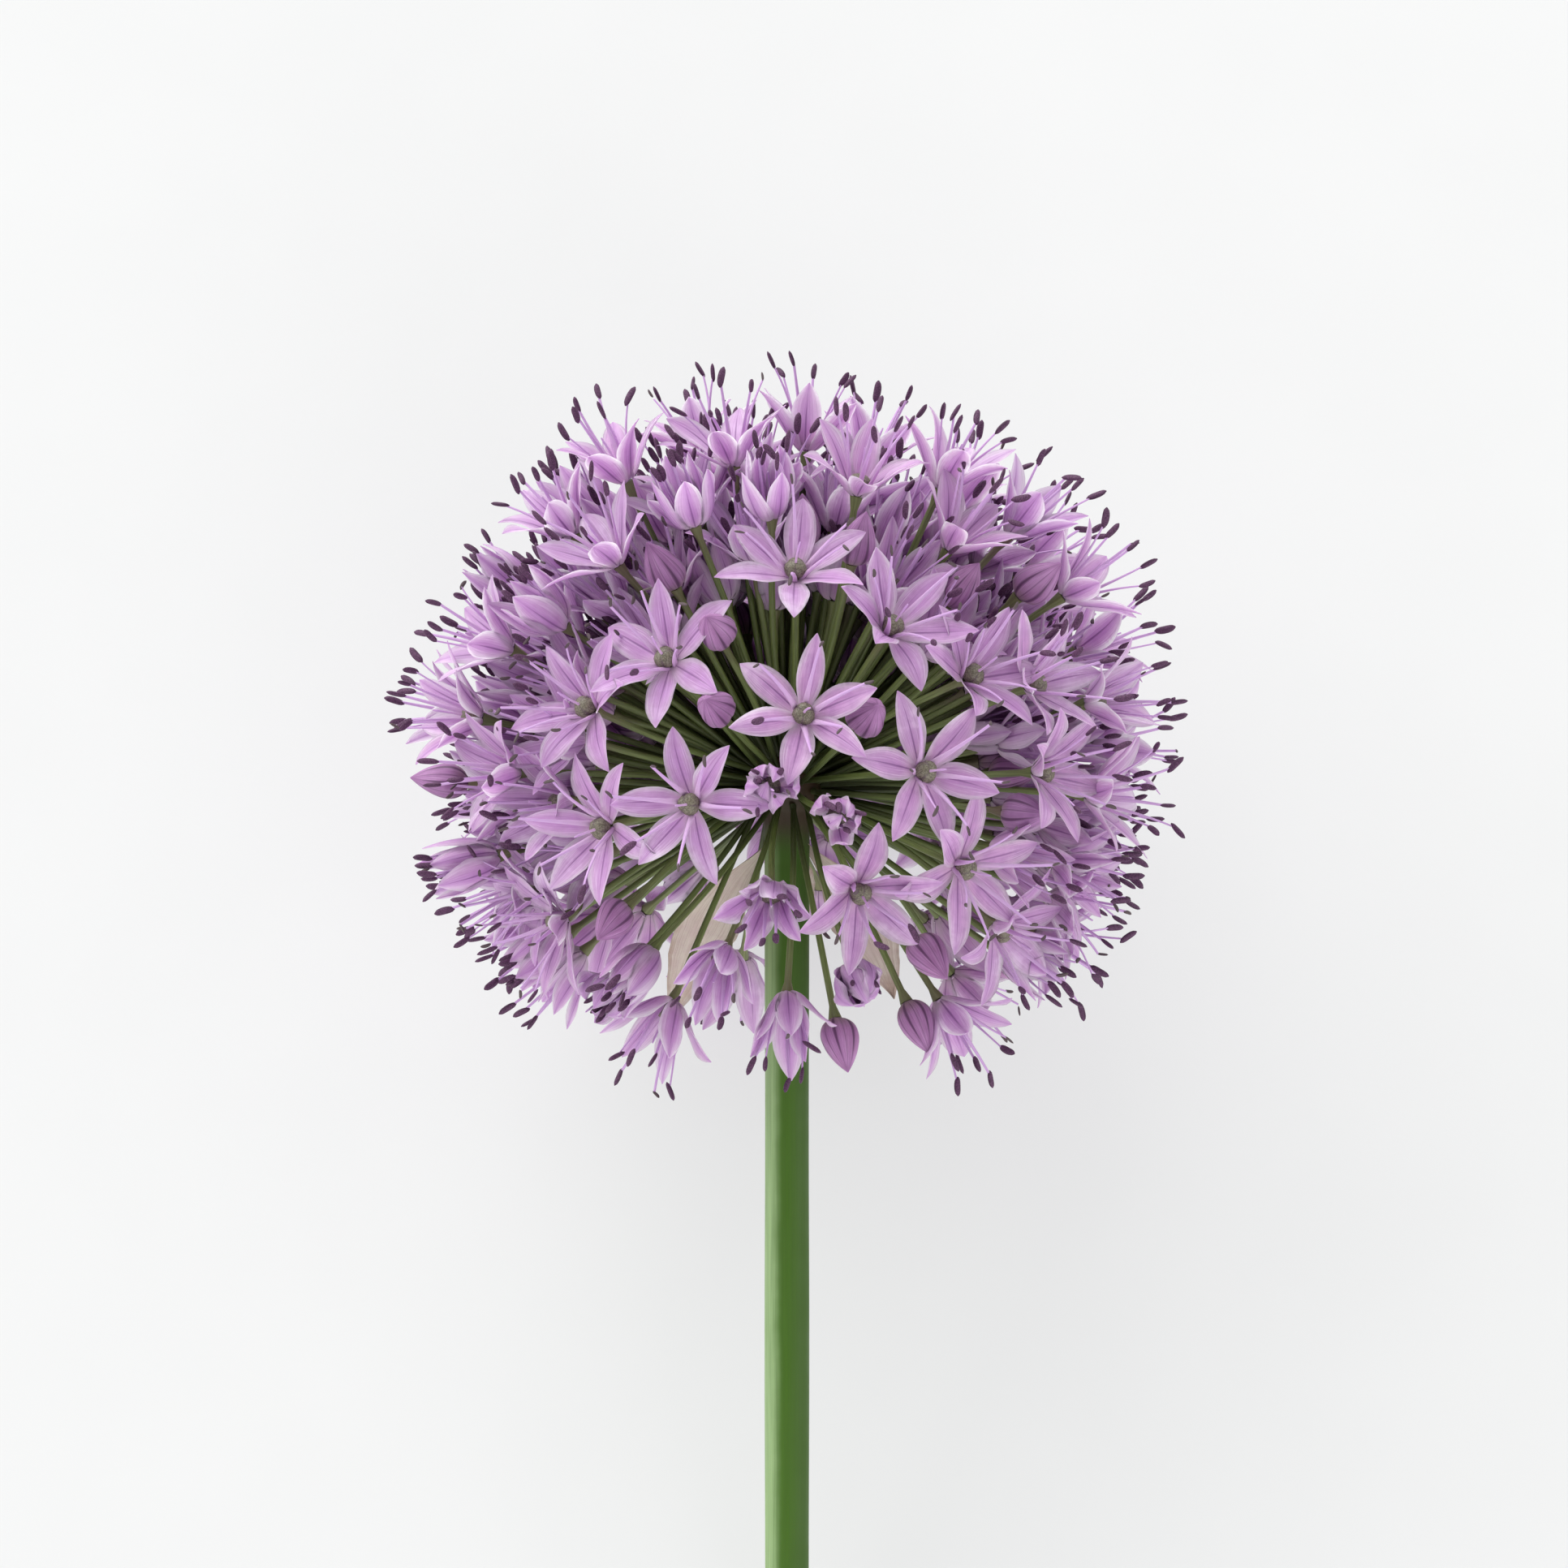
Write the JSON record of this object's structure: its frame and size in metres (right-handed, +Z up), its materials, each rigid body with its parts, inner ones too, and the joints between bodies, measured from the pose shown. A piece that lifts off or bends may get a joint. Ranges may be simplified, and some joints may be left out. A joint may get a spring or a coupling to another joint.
{
  "type": "allium flower head",
  "caption": "Round allium flower head of starry lilac florets and buds on radiating stalks, on its cut green stem, lying on a surface.",
  "frame": {"origin": "middle of the object's footprint, on the surface that it lies on", "axes": "+Y runs along the laid flower from the cut stem end to the crown, +Z is up from the surface, +X is to the right seen from above"},
  "size_m": [0.1, 0.1772, 0.0904],
  "materials": {
    "tepal": "soft satin lilac petal with darker midvein",
    "stalk": "smooth green stalk, tinted purple at the flower",
    "stamen": "dark purple grey mealy anther on a pale lilac filament",
    "scape": "smooth green stem with a pale waxy bloom",
    "spathe": "dry papery beige bract with fine parallel veins"
  },
  "bodies": {
    "root": {"floret_tuft_01": "tepal", "floret_tuft_02": "tepal", "floret_tuft_03": "tepal", "floret_tuft_04": "tepal", "floret_tuft_05": "tepal", "floret_tuft_06": "tepal", "floret_tuft_07": "tepal", "floret_tuft_08": "tepal", "floret_tuft_09": "tepal", "floret_tuft_10": "tepal", "floret_tuft_11": "tepal", "floret_tuft_12": "tepal", "floret_tuft_13": "tepal", "floret_tuft_14": "tepal", "floret_tuft_15": "tepal", "floret_tuft_16": "tepal", "floret_tuft_17": "tepal", "floret_tuft_18": "tepal", "floret_tuft_19": "tepal", "floret_tuft_20": "tepal", "floret_tuft_21": "tepal", "floret_tuft_22": "tepal", "floret_tuft_23": "tepal", "floret_tuft_24": "tepal", "floret_tuft_25": "tepal", "floret_tuft_26": "tepal", "floret_tuft_27": "tepal", "floret_tuft_28": "tepal", "floret_tuft_29": "tepal", "floret_tuft_30": "tepal", "floret_tuft_31": "tepal", "floret_tuft_32": "tepal", "floret_tuft_33": "tepal", "floret_tuft_34": "tepal", "floret_tuft_35": "tepal", "floret_tuft_36": "tepal", "floret_tuft_37": "tepal", "floret_tuft_38": "tepal", "floret_tuft_39": "tepal", "floret_tuft_40": "tepal", "floret_tuft_41": "tepal", "floret_tuft_42": "tepal", "floret_tuft_43": "tepal", "floret_tuft_44": "tepal", "floret_tuft_45": "tepal", "floret_tuft_46": "tepal", "floret_tuft_47": "tepal", "floret_tuft_48": "tepal", "floret_tuft_49": "tepal", "floret_tuft_50": "tepal", "floret_tuft_51": "tepal", "floret_tuft_52": "tepal", "floret_tuft_53": "tepal", "floret_tuft_54": "tepal", "scape": "scape", "spathe_valve_1": "spathe", "spathe_valve_2": "spathe", "spathe_valve_3": "spathe"}
  },
  "joints": []
}
